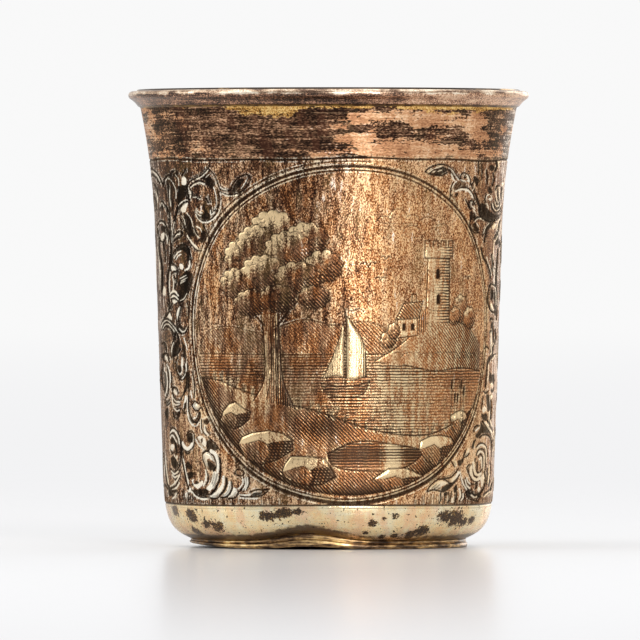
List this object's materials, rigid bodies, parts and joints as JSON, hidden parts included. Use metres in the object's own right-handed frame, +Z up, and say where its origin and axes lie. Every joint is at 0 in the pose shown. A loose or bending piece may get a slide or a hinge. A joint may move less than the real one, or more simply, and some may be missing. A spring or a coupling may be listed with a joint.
{
  "type": "silver beaker",
  "caption": "Small raised silver drinking beaker: tapering wall, flared mouth with an applied lip band, rounded base on a soldered reeded foot ring.",
  "frame": {"origin": "middle of the foot ring, on the table plane", "axes": "+Z up along the axis of the cup to its mouth; the front, with the knock in the foot, faces -Y; +X is to the right of someone who looks at the front"},
  "size_m": [0.0702, 0.0702, 0.08],
  "materials": {
    "tarnished_silver": "engraved silver, tarnished brown",
    "lip_silver": "worn, tarnished silver",
    "worn_gilt": "worn gilding on silver",
    "silver_solder": "yellowed hard solder"
  },
  "bodies": {
    "root": {"beaker_body": "tarnished_silver", "lip_band": "lip_silver", "lip_solder_seam": "silver_solder", "foot_ring": "worn_gilt", "foot_solder_seam_outer": "silver_solder", "foot_solder_seam_inner": "silver_solder"}
  },
  "joints": []
}
